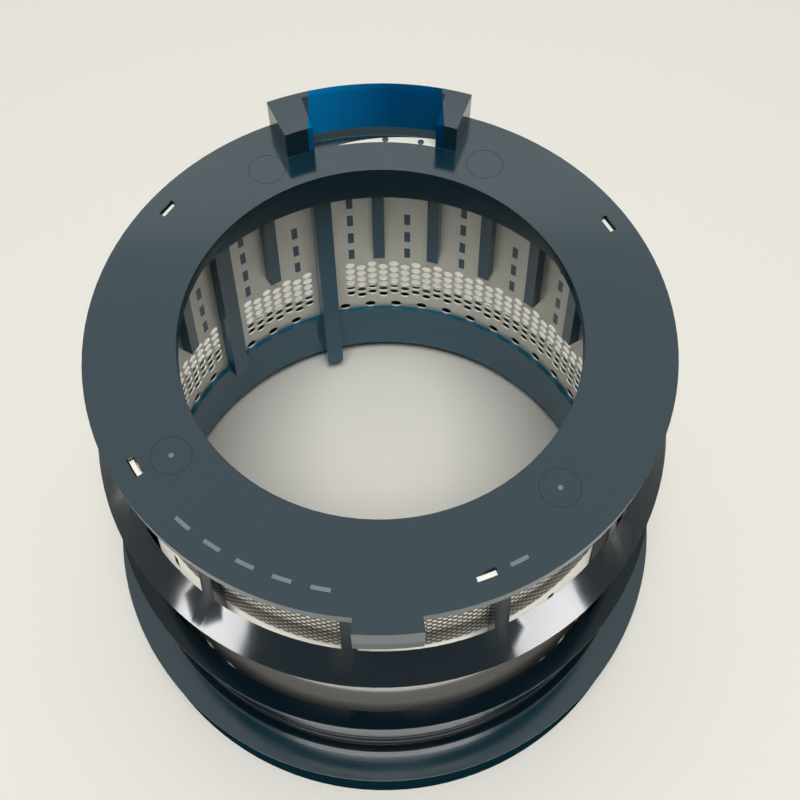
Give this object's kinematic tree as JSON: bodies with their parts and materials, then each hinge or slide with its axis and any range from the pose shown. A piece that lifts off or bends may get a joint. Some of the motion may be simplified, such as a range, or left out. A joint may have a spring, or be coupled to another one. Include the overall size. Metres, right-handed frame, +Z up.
{
  "type": "juicer mesh screen",
  "caption": "Conical steel strainer screen with a perforated band, moulded into a dark blue plastic frame with a top ring, finger tab, collar, skirt and flanged foot.",
  "frame": {"origin": "centre of the foot ring, on the surface it stands on", "axes": "+Z up along the screen's axis, +Y towards the finger tab"},
  "size_m": [0.1106, 0.1106, 0.0894],
  "materials": {
    "blue_plastic": "glossy, tinted",
    "steel_sheet": "satin"
  },
  "bodies": {
    "root": {"moulded_frame": "blue_plastic", "steel_screen": "steel_sheet"}
  },
  "joints": []
}
